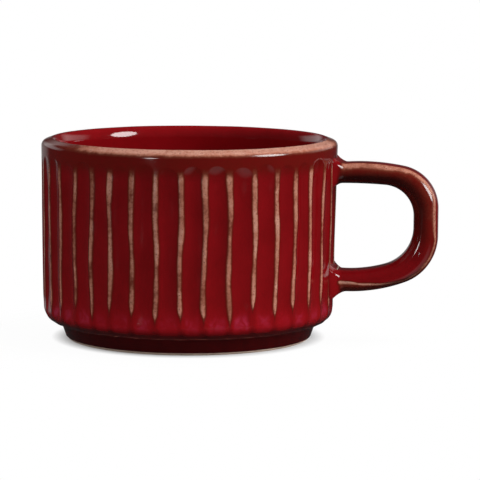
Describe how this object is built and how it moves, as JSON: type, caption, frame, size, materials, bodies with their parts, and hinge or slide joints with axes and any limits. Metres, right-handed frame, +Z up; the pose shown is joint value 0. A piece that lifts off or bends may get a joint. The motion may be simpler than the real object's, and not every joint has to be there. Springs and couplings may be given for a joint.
{
  "type": "stoneware cup",
  "caption": "Low straight-sided stacking cup of fluted stoneware with one loop handle, a stepped foot and a deep red glaze that breaks to tan on its edges",
  "frame": {"origin": "middle of the foot ring, on the plane that the cup stands on", "axes": "+Z up through the mouth, +X out along the handle, +Y to the left of the handle seen from above"},
  "size_m": [0.1209, 0.09, 0.061],
  "materials": {
    "stoneware": "bare fired clay",
    "slip": "bare fired slip",
    "red_glaze": "gloss"
  },
  "bodies": {
    "root": {"stoneware_body": "stoneware", "handle": "stoneware", "upper_slip_joint": "slip", "lower_slip_joint": "slip", "outer_glaze": "red_glaze", "liner_glaze": "red_glaze", "handle_glaze": "red_glaze", "base_glaze": "red_glaze"}
  },
  "joints": []
}
